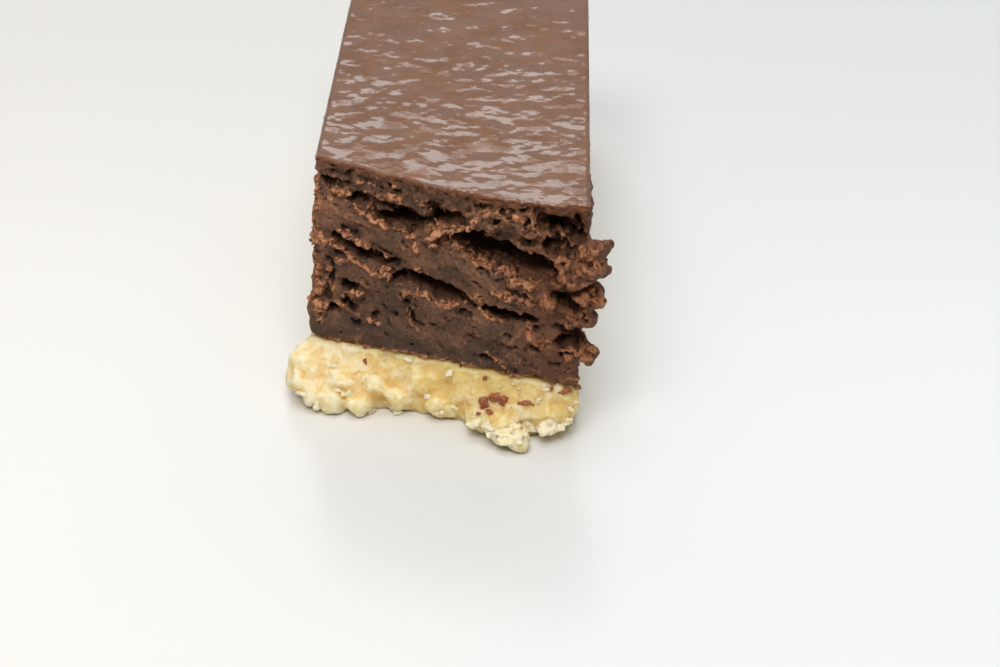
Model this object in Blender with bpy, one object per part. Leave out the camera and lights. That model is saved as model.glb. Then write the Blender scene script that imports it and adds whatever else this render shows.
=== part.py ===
"""A chocolate brownie finger on a shortbread base, with one end broken off.

The finger lies along Y and rests on Z = 0. Its near end, at -Y, was broken with a fork: the crumb has
parted into ledges with deep cracks between them. Its sides and its far end were cut with a knife.
Lengths in the tables are in millimetres and are turned into metres where a mesh is made.
"""

import math

import bmesh
import bpy
from mathutils import Matrix, Vector, noise

MM = 0.001

# Main sizes. The cut sides lean: the cake's foot lies LEAN further to the left than its top
WIDTH = 35.0
TOTAL_LENGTH = 90.0
BASE_HEIGHT = 7.5
GAP = 0.3
CRUMB_FOOT = BASE_HEIGHT + GAP
CRUMB_HEIGHT = 23.7
LEAN = 0.9

# The break, seen from above: (across from the left side, forward of the left top corner)
BREAK_TOP = [(0, -0.9), (4.5, 1.1), (11, 4.8), (17.6, 8.1), (24, 10.4), (30, 11.9), (35, 11.9)]
BREAK_FOOT = [(0, 4.0), (8, 6.8), (16.4, 9.8), (26, 13.0), (35, 15.0)]
FOREMOST = 16.0
BACK = TOTAL_LENGTH - FOREMOST

# How far the shortbread's foot reaches out in front of the chocolate's: (across, reach)
BASE_REACH = [(0, 6.3), (2.2, 7.2), (6.5, 5.2), (11, 3.0), (15, 2.2), (19, 2.0), (22, 3.4), (24.5, 4.4),
              (28, 3.6), (31, 2.0), (33, -1.2), (35, -4.4)]

# Cracks in the broken end: route as (across, up), half width, depth, fall into the cake per mm
CRACKS = [
    ([(2.2, 21.1), (4.0, 21.3), (5.4, 20.8)], 0.45, 2.2, 0.1),
    ([(5.4, 20.0), (6.8, 19.4), (8.0, 18.9)], 0.50, 2.8, 0.1),
    ([(7.2, 18.5), (9.5, 17.7), (12.1, 17.6), (15.2, 18.6), (17.2, 19.4), (19.8, 20.2)], 1.05, 5.5, 0.15),
    ([(15.6, 16.9), (19.5, 17.0), (23.5, 16.2), (27.0, 15.2), (30.6, 14.6), (33.2, 15.2)], 1.90, 7.5, 0.05),
    ([(28.6, 20.7), (31.4, 20.8), (34.0, 20.2)], 1.55, 5.0, 0.0),
    ([(2.8, 15.5), (4.2, 15.4), (6.0, 14.8)], 0.35, 2.2, 0.1),
    ([(4.2, 13.9), (6.0, 13.0), (8.2, 12.3), (11.2, 12.0)], 0.80, 5.5, 0.15),
    ([(9.8, 10.2), (12.0, 10.9), (14.0, 10.9), (16.4, 10.1), (18.8, 9.3), (21.2, 8.4)], 0.90, 6.0, 0.15),
    ([(21.8, 8.1), (23.6, 7.7), (26.2, 7.7), (29.4, 8.0)], 0.55, 4.5, 0.1),
    ([(17.6, 6.3), (19.2, 6.5), (21.0, 6.3)], 0.32, 2.2, 0.1),
    ([(11.7, 7.7), (12.6, 6.0), (13.7, 4.3)], 0.32, 1.6, 0.0),
    ([(3.4, 8.2), (4.6, 7.7), (5.8, 7.9)], 0.80, 2.6, 0.1),
    ([(1.6, 3.9), (3.6, 4.6), (6.2, 5.0)], 0.50, 2.2, 0.1),
    ([(7.3, 4.2), (7.9, 4.5), (8.6, 4.3)], 0.45, 1.6, 0.0),
    ([(1.0, 12.2), (2.0, 11.6), (3.2, 11.7)], 0.50, 1.8, 0.0),
    ([(30.0, 12.2), (31.6, 11.7), (33.8, 10.6)], 0.85, 4.2, 0.1),
    ([(30.8, 7.2), (32.6, 6.8), (34.4, 6.0)], 0.80, 3.2, 0.0),
    ([(27.0, 4.9), (28.2, 4.7), (29.6, 5.1)], 0.30, 1.4, 0.0),
]

# Ledges under the cracks, which stand proud: route as (across, up), reach, fade above, fade below
LEDGES = [
    ([(1.5, 17.6), (9.0, 16.5), (15.0, 15.8), (19.0, 15.0), (22.6, 13.4), (28.0, 12.2), (31, 11.2)], 1.5, 0.6, 3.4),
    ([(13.5, 17.0), (17.0, 17.9), (20.6, 19.0), (22.0, 19.4)], 0.9, 0.5, 0.8),
    ([(0.5, 13.8), (4.8, 11.7), (7.3, 10.5), (9.6, 10.4)], 1.4, 0.6, 2.6),
    ([(10.8, 9.2), (14.2, 8.8), (16.6, 7.9), (19.6, 7.8), (22.0, 7.2)], 1.2, 0.6, 2.4),
    ([(21.0, 6.6), (25.0, 6.2), (30.0, 5.8), (34.0, 4.2)], 0.7, 0.7, 3.0),
    ([(0.0, 1.6), (12.0, 1.8), (24.0, 1.8), (35.0, 1.6)], 0.6, 2.0, 1.6),
    ([(0.0, 23.2), (12.0, 23.2), (24.0, 23.2), (35.0, 23.2)], 0.8, 1.0, 0.9),
]

# Crags and flakes on the broken end: (across, up, forward), (half length, half depth, half height), tilt
CRAGS = [
    ((34.2, 16.6, 0.9), (3.9, 2.8, 2.5), 44),
    ((35.9, 15.9, 0.2), (1.9, 1.6, 1.5), -40),
    ((35.0, 12.0, 0.6), (1.8, 1.8, 1.5), 10),
    ((34.8, 9.4, 0.5), (1.4, 1.6, 1.1), -20),
    ((33.2, 9.0, 0.9), (1.1, 1.2, 0.9), 30),
    ((35.2, 4.7, 0.2), (1.1, 1.0, 0.9), 20),
    ((36.1, 4.2, 0.0), (0.8, 0.8, 0.7), 0),
    ((35.3, 3.3, 0.4), (0.9, 0.9, 0.8), -30),
    ((31.1, 19.1, -1.6), (1.3, 1.6, 0.9), 8),
    ((29.2, 20.4, -0.8), (1.4, 1.6, 0.5), -28),
    ((25.3, 13.2, 1.0), (1.3, 1.5, 0.9), -25),
    ((28.0, 12.4, 0.9), (1.1, 1.4, 1.0), 20),
    ((24.6, 10.3, 1.2), (1.1, 1.0, 0.7), -15),
    ((6.3, 14.0, 0.3), (3.7, 1.7, 0.42), -17),
    ((13.2, 12.6, 0.5), (1.4, 1.2, 0.45), 6),
    ((9.2, 11.0, 1.1), (1.2, 1.1, 0.6), 8),
    ((3.5, 10.9, 0.6), (1.2, 1.1, 0.6), 18),
    ((5.0, 6.6, 0.5), (1.7, 1.2, 0.5), -8),
    ((0.2, 14.4, -0.6), (0.7, 1.1, 0.6), 0),
    ((0.1, 10.9, -0.4), (0.8, 1.3, 0.8), 30),
    ((0.3, 8.7, -0.2), (0.8, 1.2, 0.7), 0),
    ((0.4, 6.2, -0.1), (0.7, 1.0, 0.7), 0),
    ((-0.3, 3.2, -0.2), (1.2, 1.2, 0.6), 32),
    ((23.2, 20.4, 0.0), (3.6, 1.9, 1.5), -8),
    ((27.4, 19.8, -0.4), (2.4, 1.7, 1.3), -20),
    ((31.0, 13.2, 0.2), (1.2, 1.4, 0.9), -30),
]

# Shortbread lumps at the broken end: (across, up, forward of the chocolate's foot), radii
BASE_LUMPS = [
    ((-1.6, 3.4, 2.6), (2.4, 3.0, 3.0)),
    ((-2.7, 4.2, 1.4), (1.1, 1.6, 2.6)),
    ((-0.6, 6.0, 0.2), (1.5, 1.8, 1.3)),
    ((-0.2, 1.4, 4.4), (2.2, 2.2, 1.4)),
    ((2.2, 1.8, 5.8), (1.9, 1.7, 1.8)),
    ((3.8, 4.0, 3.6), (2.2, 1.9, 1.7)),
    ((6.0, 1.5, 4.6), (1.8, 1.6, 1.5)),
    ((8.2, 3.4, 2.8), (2.1, 1.7, 1.6)),
    ((11.4, 2.4, 2.2), (2.0, 1.4, 1.8)),
    ((14.4, 4.4, 0.8), (2.3, 1.5, 1.7)),
    ((16.6, 1.8, 1.6), (1.9, 1.4, 1.5)),
    ((19.4, 3.8, 0.8), (2.0, 1.4, 1.8)),
    ((21.8, 1.8, 2.8), (1.9, 1.6, 1.5)),
    ((23.4, 2.4, 4.0), (2.1, 1.9, 1.1)),
    ((25.6, 1.4, 5.0), (2.2, 2.0, 1.0)),
    ((26.9, 1.0, 6.0), (1.3, 1.2, 0.8)),
    ((27.4, 3.8, 2.2), (2.3, 1.7, 1.6)),
    ((30.4, 2.6, 1.6), (2.0, 1.6, 1.9)),
    ((32.6, 4.6, -0.2), (1.9, 1.5, 2.2)),
]

# Fineness of the meshes
CRUMB_GRID = (70, 48, 36)
BASE_GRID = (64, 12, 48)
CRUMB_VOXEL = 0.32
BASE_VOXEL = 0.36
CRUMB_TRIANGLES = 10200
BASE_TRIANGLES = 5400


def eased(points, at):
    """The value at one place of a smooth curve through (place, value) points, level at both ends."""
    if at <= points[0][0]:
        return points[0][1]
    for (a, va), (b, vb) in zip(points, points[1:]):
        if at <= b:
            share = (at - a) / (b - a)
            return va + (vb - va) * (share * 0.6 + share * share * (3 - 2 * share) * 0.4)
    return points[-1][1]


def beside(route, across, up):
    """How far a point of the broken end lies above a route, and beyond the route's ends."""
    best = None
    for (xa, za), (xb, zb) in zip(route, route[1:]):
        dx, dz = xb - xa, zb - za
        size = math.hypot(dx, dz)
        along = ((across - xa) * dx + (up - za) * dz) / size
        above = ((up - za) * dx - (across - xa) * dz) / size
        past = max(-along, along - size, 0)
        reach = math.hypot(above, past)
        if best is None or reach < best[0]:
            best = (reach, above, past)
    return best[1], best[2]


def break_forward(across, up):
    """How far forward the plain break surface stands at a place of the broken end."""
    share = min(max(up / CRUMB_HEIGHT, 0), 1)
    top, foot = eased(BREAK_TOP, across), eased(BREAK_FOOT, across)
    return foot + (top - foot) * share


def ledge_relief(across, up):
    """How far the ledges stand out: sharp along their upper edge, fading slowly below it."""
    out = 0
    for route, reach, fade_above, fade_below in LEDGES:
        above, past = beside(route, across, up)
        fade = fade_above if above > 0 else fade_below
        out = max(out, reach * math.exp(-((above / fade) ** 2) - (past / 1.2) ** 2))
    return out


def layered_noise(across, up, depth):
    """Rough relief drawn out along the layers, which fall to the right, from about -1 to 1."""
    along = across * 0.98 - up * 0.2
    level = up * 0.98 + across * 0.2
    coarse = noise.noise(Vector((along / 5.0, level / 1.9, depth / 4.0)))
    middle = noise.noise(Vector((along / 1.9 + 7, level / 0.9, depth / 1.7)))
    return coarse + 0.5 * middle


def box_shell(counts, place):
    """A closed box of grid faces, each point put in place by place(s, t, r) from its shares of the three sides."""
    bm = bmesh.new()
    across, up, back = counts
    found = {}

    def point(i, j, k):
        if (i, j, k) not in found:
            found[i, j, k] = bm.verts.new(place(i / across, j / up, k / back))
        return found[i, j, k]

    for i in range(across):
        for j in range(up):
            for k, turn in ((0, 1), (back, -1)):
                ring = [point(i, j, k), point(i + 1, j, k), point(i + 1, j + 1, k), point(i, j + 1, k)]
                bm.faces.new(ring[::turn])
    for i in range(across):
        for k in range(back):
            for j, turn in ((0, -1), (up, 1)):
                ring = [point(i, j, k), point(i + 1, j, k), point(i + 1, j, k + 1), point(i, j, k + 1)]
                bm.faces.new(ring[::turn])
    for j in range(up):
        for k in range(back):
            for i, turn in ((0, 1), (across, -1)):
                ring = [point(i, j, k), point(i, j + 1, k), point(i, j + 1, k + 1), point(i, j, k + 1)]
                bm.faces.new(ring[::turn])
    return bm


def object_of(bm, name):
    """A new object that holds the mesh, in the scene."""
    mesh = bpy.data.meshes.new(name)
    bmesh.ops.recalc_face_normals(bm, faces=bm.faces)
    bm.to_mesh(mesh)
    bm.free()
    made = bpy.data.objects.new(name, mesh)
    bpy.context.scene.collection.objects.link(made)
    return made


def crack_cutter(route, half_width, depth, fall):
    """A blade along a crack's route, widest at its middle and thinning to an edge inside the cake."""
    stations = 14
    bm = bmesh.new()
    rings = []
    for step in range(stations + 1):
        share = step / stations
        across = eased([(n / (len(route) - 1), p[0]) for n, p in enumerate(route)], share)
        up = eased([(n / (len(route) - 1), p[1]) for n, p in enumerate(route)], share)
        swell = math.sin(math.pi * (0.06 + 0.88 * share)) ** 0.6
        uneven = 1 + 0.35 * noise.noise(Vector((across * 0.9, up, depth)))
        half = half_width * swell * uneven
        deep = depth * swell ** 0.5 * uneven
        mouth = break_forward(across, up)
        profile = [(4.0, 1.15), (-0.3, 1.0), (-0.55 * deep, 0.75), (-0.9 * deep, 0.3), (-deep, 0.0),
                   (-0.9 * deep, -0.3), (-0.55 * deep, -0.75), (-0.3, -1.0), (4.0, -1.15)]
        ring = []
        for out, side in profile:
            level = up + side * half + min(out, 0) * fall
            ring.append(bm.verts.new(crumb_point(across, level, mouth + out)))
        rings.append(ring)
    for a, b in zip(rings, rings[1:]):
        count = len(a)
        for n in range(count):
            bm.faces.new((a[n], a[(n + 1) % count], b[(n + 1) % count], b[n]))
    bm.faces.new(rings[0][::-1])
    bm.faces.new(rings[-1])
    return object_of(bm, "crack_cutter")


def crumb_point(across, up, forward):
    """A place of the chocolate part as a point in metres."""
    return Vector((across - WIDTH / 2, -forward, CRUMB_FOOT + up)) * MM


def base_point(across, up, forward):
    """A place of the shortbread as a point in metres."""
    return Vector((across - WIDTH / 2, -forward, up)) * MM


def lump(centre, radii, tilt, roughness, detail):
    """A rough stone-like lump, tilted about the finger's long axis."""
    bm = bmesh.new()
    bmesh.ops.create_icosphere(bm, subdivisions=detail, radius=1)
    seed = centre * 900
    for vert in bm.verts:
        vert.co *= 1 + roughness * noise.noise(vert.co * 1.7 + seed)
    size = Matrix.Diagonal(Vector(radii) * MM).to_4x4()
    turn = Matrix.Rotation(math.radians(-tilt), 4, "Y")
    bmesh.ops.transform(bm, matrix=Matrix.Translation(centre) @ turn @ size, verts=bm.verts)
    return object_of(bm, "lump")


def join(target, others, operation):
    """Joins other objects to the target, or cuts them from it, with one Boolean, and removes them."""
    pieces = bpy.data.collections.new("pieces")
    for other in others:
        pieces.objects.link(other)
    modifier = target.modifiers.new("join", "BOOLEAN")
    modifier.operation = operation
    modifier.operand_type = "COLLECTION"
    modifier.collection = pieces
    modifier.solver = "EXACT"
    modifier.use_self = True
    apply_modifiers(target)
    for other in others:
        bpy.data.objects.remove(other)
    bpy.data.collections.remove(pieces)


def apply_modifiers(target):
    """Turns the object's evaluated mesh into its own mesh."""
    bpy.context.view_layer.update()
    graph = bpy.context.evaluated_depsgraph_get()
    mesh = bpy.data.meshes.new_from_object(target.evaluated_get(graph))
    target.modifiers.clear()
    target.data = mesh


def remesh(target, voxel):
    """Fuses all that overlaps in the object into one even surface."""
    modifier = target.modifiers.new("fuse", "REMESH")
    modifier.mode = "VOXEL"
    modifier.voxel_size = voxel * MM
    modifier.adaptivity = 0
    apply_modifiers(target)


def roughen(target, amount_at):
    """Moves each point along its normal by amount_at(point in mm), in millimetres."""
    mesh = target.data
    moved = [v.co + v.normal * amount_at(v.co / MM) * MM for v in mesh.vertices]
    for vert, co in zip(mesh.vertices, moved):
        vert.co = co
    mesh.update()


def thin_out(target, triangles):
    """Collapses edges until about this many triangles are left, fewest where the surface is flat."""
    target.data.calc_loop_triangles()
    modifier = target.modifiers.new("thin", "DECIMATE")
    modifier.ratio = triangles / len(target.data.loop_triangles)
    modifier.use_collapse_triangulate = True
    apply_modifiers(target)


def trim(target, low, high):
    """Keeps what lies between two levels, in millimetres, with a flat cut at each."""
    bm = bmesh.new()
    size = Matrix.Diagonal(Vector((3 * TOTAL_LENGTH, 3 * TOTAL_LENGTH, high - low)) * MM).to_4x4()
    middle = Matrix.Translation((0, 0, (low + high) / 2 * MM))
    bmesh.ops.create_cube(bm, size=1, matrix=middle @ size)
    join(target, [object_of(bm, "slab")], "INTERSECT")


def keep_largest_island(target):
    """Drops scraps that a crack has cut free: faces with no chain of edges between two faces to the rest."""
    bm = bmesh.new()
    bm.from_mesh(target.data)
    left = set(bm.faces)
    islands = []
    while left:
        island = {left.pop()}
        newest = set(island)
        while newest:
            edges = {e for face in newest for e in face.edges if len(e.link_faces) == 2}
            newest = {face for e in edges for face in e.link_faces} - island
            island |= newest
        left -= island
        islands.append(island)
    islands.sort(key=len)
    scraps = [face for island in islands[:-1] for face in island]
    bmesh.ops.delete(bm, geom=scraps, context="FACES")
    bm.to_mesh(target.data)
    bm.free()


def material(name, colour, roughness):
    """A plain matt food surface."""
    made = bpy.data.materials.new(name)
    made.use_nodes = True
    shader = made.node_tree.nodes["Principled BSDF"]
    shader.inputs["Base Color"].default_value = (*colour, 1)
    shader.inputs["Roughness"].default_value = roughness
    shader.inputs["Metallic"].default_value = 0
    return made


def crumb_block():
    """The chocolate part before it cracks: knife-cut sides, a gently waved top and the stepped break."""

    def place(s, t, r):
        across, up = s * WIDTH, t * (CRUMB_HEIGHT + 1) - 1
        front = break_forward(across, up) + ledge_relief(across, up)
        back_share = r * r * (1.6 - 0.6 * r)
        forward = front + (-BACK - front) * back_share
        wave = noise.noise(Vector((across / 7, forward / 7, 3)))
        bulge = 0.25 * noise.noise(Vector((s * 2 + 5, up / 6, forward / 9)))
        side = 1 if s > 0.5 else -1
        edge = abs(2 * s - 1) ** 8
        lean = LEAN * (1 - up / CRUMB_HEIGHT)
        level = up + (0.22 * wave if t == 1 else 0)
        return crumb_point(across - lean + side * bulge * edge, level, forward)

    return object_of(box_shell(CRUMB_GRID, place), "brownie")


def make_brownie():
    """The chocolate part: one piece of dense crumb with a baked top."""
    brownie = crumb_block()
    crags = []
    for (across, up, out), radii, tilt in CRAGS:
        centre = crumb_point(across, up, break_forward(across, up) + out)
        crags.append(lump(centre, radii, tilt, 0.5, 3))
    join(brownie, [crack_cutter(*crack) for crack in CRACKS], "DIFFERENCE")
    join(brownie, crags, "UNION")
    remesh(brownie, CRUMB_VOXEL)

    def crumb_roughness(p):
        across, up = p.x + WIDTH / 2, p.z - CRUMB_FOOT
        behind = break_forward(across, up) + p.y
        broken = math.exp(-((max(behind - 5, 0) / 2.5) ** 2)) * min(max((CRUMB_HEIGHT - up) / 1.2, 0), 1)
        return (0.05 + 0.45 * broken) * layered_noise(across, up, p.y)

    roughen(brownie, crumb_roughness)
    thin_out(brownie, CRUMB_TRIANGLES)
    trim(brownie, CRUMB_FOOT, CRUMB_FOOT + 2 * CRUMB_HEIGHT)
    keep_largest_island(brownie)
    brownie.data.materials.append(material("chocolate_crumb", (0.085, 0.038, 0.022), 0.62))
    return brownie


def make_shortbread():
    """The pale crumbly base, whose broken end slopes out to a lumpy foot."""

    def place(s, t, r):
        across, up = s * WIDTH, t * (BASE_HEIGHT + 1) - 0.5
        slope = max(1 - max(up, 0) / BASE_HEIGHT, 0) ** 0.8
        undercut = 0.8 * max(1 - max(up, 0) / 1.2, 0)
        front = break_forward(across, 0) + 0.3 + (eased(BASE_REACH, across) - 0.8) * slope - undercut
        forward = front + (-BACK - front) * r
        rough = 0.4 * noise.noise(Vector((s * 3, up / 4, forward / 6)))
        side = 1 if s > 0.5 else -1
        return base_point(across - LEAN + side * rough * abs(2 * s - 1) ** 8, up, forward)

    base = object_of(box_shell(BASE_GRID, place), "shortbread_base")
    lumps = []
    for (across, up, out), radii in BASE_LUMPS:
        centre = base_point(across, up, break_forward(across, 0) + out)
        lumps.append(lump(centre, radii, 0, 0.35, 3))
    join(base, lumps, "UNION")
    remesh(base, BASE_VOXEL)

    def grain(p):
        behind = break_forward(p.x + WIDTH / 2, 0) + p.y
        broken = math.exp(-((max(behind - 1, 0) / 3) ** 2))
        coarse = noise.noise(p / 1.7)
        fine = noise.noise(p / 0.9 + Vector((9, 4, 2)))
        return (0.12 + 0.5 * broken) * (coarse + 0.3 * fine)

    roughen(base, grain)
    thin_out(base, BASE_TRIANGLES)
    trim(base, 0, BASE_HEIGHT)
    keep_largest_island(base)
    base.data.materials.append(material("shortbread", (0.80, 0.62, 0.33), 0.85))
    return base


def centre_on_footprint(objects):
    """Moves the pieces so that the origin lies at the middle of the whole finger's box, at its foot."""
    points = [v.co for obj in objects for v in obj.data.vertices]
    middle = [(min(p[k] for p in points) + max(p[k] for p in points)) / 2 for k in range(2)]
    shift = Matrix.Translation((-middle[0], -middle[1], 0))
    for obj in objects:
        obj.data.transform(shift)


def main():
    for obj in list(bpy.data.objects):
        bpy.data.objects.remove(obj)
    centre_on_footprint([make_brownie(), make_shortbread()])


main()
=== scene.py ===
"""A finger of chocolate brownie on shortbread, broken at its near end, on a pale plate.

Meshes are worked in millimetres and made metres at the end of each piece.
"""

import math

import bmesh
import bpy
import numpy as np
from mathutils import Matrix, Vector, kdtree
from mathutils.bvhtree import BVHTree


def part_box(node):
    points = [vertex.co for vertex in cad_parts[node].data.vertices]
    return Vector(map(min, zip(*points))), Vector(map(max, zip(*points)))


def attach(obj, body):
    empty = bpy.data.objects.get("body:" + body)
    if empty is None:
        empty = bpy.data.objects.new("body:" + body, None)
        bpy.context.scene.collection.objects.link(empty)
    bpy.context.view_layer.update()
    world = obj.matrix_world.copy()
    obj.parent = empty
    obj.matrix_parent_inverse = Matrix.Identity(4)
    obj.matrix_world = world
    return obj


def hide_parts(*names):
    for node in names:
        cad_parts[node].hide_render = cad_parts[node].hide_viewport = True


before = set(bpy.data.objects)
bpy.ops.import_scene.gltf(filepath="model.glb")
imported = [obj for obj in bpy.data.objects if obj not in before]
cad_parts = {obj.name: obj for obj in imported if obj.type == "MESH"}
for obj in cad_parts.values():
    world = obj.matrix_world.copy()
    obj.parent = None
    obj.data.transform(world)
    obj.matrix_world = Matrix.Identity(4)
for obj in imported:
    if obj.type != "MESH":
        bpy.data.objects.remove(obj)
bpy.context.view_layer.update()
MM = 0.001


# The camera looks down the finger from a little right of its middle, at eye height for someone who is
# about to eat it. It is set from the cake's cut far face, which the break doesn't reach.
cake_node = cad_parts["brownie"]
cake_low, cake_high = (np.array(corner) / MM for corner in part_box("brownie"))
node_points = np.array([v.co for v in cake_node.data.vertices]) / MM
far_top = node_points[(node_points[:, 1] > cake_high[1] - 1) & (node_points[:, 2] > cake_high[2] - 1)]
top_middle = (far_top[:, 0].min() + far_top[:, 0].max()) / 2
finger_width, eye_across = 35.0, 30.3
left_side = top_middle - finger_width / 2
eye = Vector((left_side + eye_across, cake_high[1] - 352.0, 161.4)) * MM
camera_data = bpy.data.cameras.new("camera")
camera_data.lens = 86.4
camera_data.sensor_width = 36
camera_data.clip_start = 0.01
camera = bpy.data.objects.new("camera", camera_data)
bpy.context.scene.collection.objects.link(camera)
heading = Matrix.Rotation(math.radians(1.34), 4, "Z")
pitch = Matrix.Rotation(math.radians(90 - 29.15), 4, "X")
roll = Matrix.Rotation(math.radians(0.6), 4, "Z")
camera.matrix_world = Matrix.Translation(eye) @ heading @ pitch @ roll
bpy.context.scene.camera = camera


# The chocolate layer: dense fudgy crumb, baked in a tray and cut with a knife along its sides. The near end
# was pulled apart with a fork, so it has torn along its layers into smooth compressed bands, crumbly orange
# edges where a band ended, pores, and deep cracks that hold no light.
def modify(piece, kind, **settings):
    """Turns the piece's mesh into what a modifier of this kind, with its settings by name, makes of it."""
    modifier = piece.modifiers.new("step", kind)
    for name, value in settings.items():
        setattr(modifier, name, value)
    bpy.context.view_layer.update()
    graph = bpy.context.evaluated_depsgraph_get()
    mesh = bpy.data.meshes.new_from_object(piece.evaluated_get(graph))
    piece.modifiers.clear()
    old, piece.data = piece.data, mesh
    bpy.data.meshes.remove(old)


def linked(piece, holder=bpy.context.scene.collection):
    """The object, put into a collection, which is the scene's own if none is named."""
    holder.objects.link(piece)
    return piece


def piece_from(bm, name, *holder):
    """A piece with the bmesh's faces, and the bmesh freed."""
    mesh = bpy.data.meshes.new(name)
    bm.to_mesh(mesh)
    bm.free()
    return linked(bpy.data.objects.new(name, mesh), *holder)


def working_copy(node, name):
    """A merged copy of a CAD node's mesh, in millimetres."""
    bm = bmesh.new()
    bm.from_mesh(node.data)
    bmesh.ops.remove_doubles(bm, verts=bm.verts, dist=1e-7)
    bmesh.ops.scale(bm, vec=(1 / MM, 1 / MM, 1 / MM), verts=bm.verts)
    return piece_from(bm, name)


def fuse(piece, voxel):
    """Makes one even surface of the piece with faces of this size."""
    modify(piece, "REMESH", mode="VOXEL", voxel_size=voxel)


def thin_out(piece, triangles):
    """Collapses edges until this many triangles are left, most of them where the surface is rough."""
    piece.data.calc_loop_triangles()
    share = triangles / len(piece.data.loop_triangles)
    if share < 1:
        modify(piece, "DECIMATE", ratio=share, use_collapse_triangulate=True)


def thinned(piece, triangles):
    """Thins the piece out, and gives the number of the old point nearest to each point that is left."""
    tree = kdtree.KDTree(len(piece.data.vertices))
    for index, point in enumerate(read_points(piece)):
        tree.insert(point, index)
    tree.balance()
    thin_out(piece, triangles)
    return np.array([tree.find(point)[1] for point in read_points(piece)])


def read_shape(piece):
    """The piece's points and its normals there, each in rows of three."""
    found = []
    for source, kind in ((piece.data.vertices, "co"), (piece.data.vertex_normals, "vector")):
        numbers = np.empty(len(source) * 3, np.float32)
        source.foreach_get(kind, numbers)
        found.append(numbers.reshape(-1, 3).astype(np.float64))
    return found


def read_points(piece):
    return read_shape(piece)[0]


def write_points(piece, points):
    piece.data.vertices.foreach_set("co", points.astype(np.float32).ravel())
    piece.data.update()


def relaxed(piece, values, rounds):
    """Values of the piece's points, spread over their neighbours this many times."""
    ends = np.empty(len(piece.data.edges) * 2, np.int32)
    piece.data.edges.foreach_get("vertices", ends)
    a, b = ends[0::2], ends[1::2]
    count = len(values)
    near = np.maximum(np.bincount(a, minlength=count) + np.bincount(b, minlength=count), 1)[:, None]
    for _ in range(rounds):
        total = [np.bincount(a, row[b], count) + np.bincount(b, row[a], count) for row in values.T]
        values = 0.5 * values + 0.5 * np.stack(total, axis=1) / near
    return values


def standing_out(piece, points, normals, rounds):
    """How far each point stands out of the same surface relaxed this many times."""
    return np.einsum("ij,ij->i", points - relaxed(piece, points, rounds), normals)


DIRECTIONS = np.random.default_rng(5).normal(size=(256, 3))
DIRECTIONS /= np.linalg.norm(DIRECTIONS, axis=1, keepdims=True)


def scatter_code(cells, seed):
    """A number from 0 to 255 for each whole-number cell, the same each run."""
    code = cells[:, 0] * 73856093 ^ cells[:, 1] * 19349663 ^ cells[:, 2] * 83492791 ^ seed * 2654435
    code = (code ^ (code >> 13)) * 1274126177
    return (code ^ (code >> 16)) & 255


def drift(points, size, seed):
    """Smooth noise from about -1 to 1, in bumps about this many millimetres across."""
    scaled = points / size + seed * 3.7
    cell = np.floor(scaled).astype(np.int64)
    part = scaled - cell
    ease = part * part * (3 - 2 * part)
    total = np.zeros(len(points))
    for corner in range(8):
        step = np.array([(corner >> k) & 1 for k in range(3)])
        way = DIRECTIONS[scatter_code(cell + step, seed)]
        weight = np.prod(np.where(step, ease, 1 - ease), axis=1)
        total += weight * np.einsum("ij,ij->i", way, part - step)
    return total * 1.6


def drift_all_ways(points, size, seed):
    """Three drifts, one for each way that a point can move."""
    return np.stack([drift(points, size, seed + k) for k in range(3)], axis=1)


def nearest_seed(points, size, seed):
    """Cells of about this size: distance to the nearest one's middle, the gap to the next cell, the cell's own
    number, and the height that a tilted facet on it would have."""
    scaled = points / size
    cell = np.floor(scaled).astype(np.int64)
    best = np.full(len(points), 9.0)
    second = np.full(len(points), 9.0)
    number = np.zeros(len(points))
    facet = np.zeros(len(points))
    for shift in np.ndindex(3, 3, 3):
        near = cell + np.array(shift) - 1
        offset = scaled - near - 0.5 - 0.42 * DIRECTIONS[scatter_code(near, seed)]
        away = np.sqrt(np.einsum("ij,ij->i", offset, offset))
        closer = away < best
        second = np.where(closer, best, np.minimum(second, away))
        best = np.where(closer, away, best)
        if closer.any():
            code = scatter_code(near[closer], seed + 7)
            number[closer] = code / 255
            facet[closer] = np.einsum("ij,ij->i", offset[closer], DIRECTIONS[255 - code])
    return best * size, (second - best) * size, number, facet * size


def broken_cells(points, size, seed):
    """What nearest_seed gives, for cells whose borders wander."""
    return nearest_seed(points + 0.28 * size * drift_all_ways(points, size * 0.7, seed + 1), size, seed)


def crumbly(points, size, seed):
    """Relief like broken crumb, in angular lumps of about this size with creases between them, from -1 to 1."""
    _, gap, number, facet = broken_cells(points, size, seed)
    return 1.1 * (number - 0.5) + facet / size + 0.24 * smoothstep(0, 0.2 * size, gap) - 0.15


def smoothstep(low, high, value):
    share = np.clip((value - low) / (high - low), 0, 1)
    return share * share * (3 - 2 * share)


def near_route(across, up, route):
    """Distance in the broken face from each point to a route."""
    best = np.full(len(across), 99.0)
    for xa, za, xb, zb in zip(route[::2], route[1::2], route[2::2], route[3::2]):
        dx, dz = xb - xa, zb - za
        share = np.clip(((across - xa) * dx + (up - za) * dz) / (dx * dx + dz * dz), 0, 1)
        best = np.minimum(best, np.hypot(across - xa - dx * share, up - za - dz * share))
    return best


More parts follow.
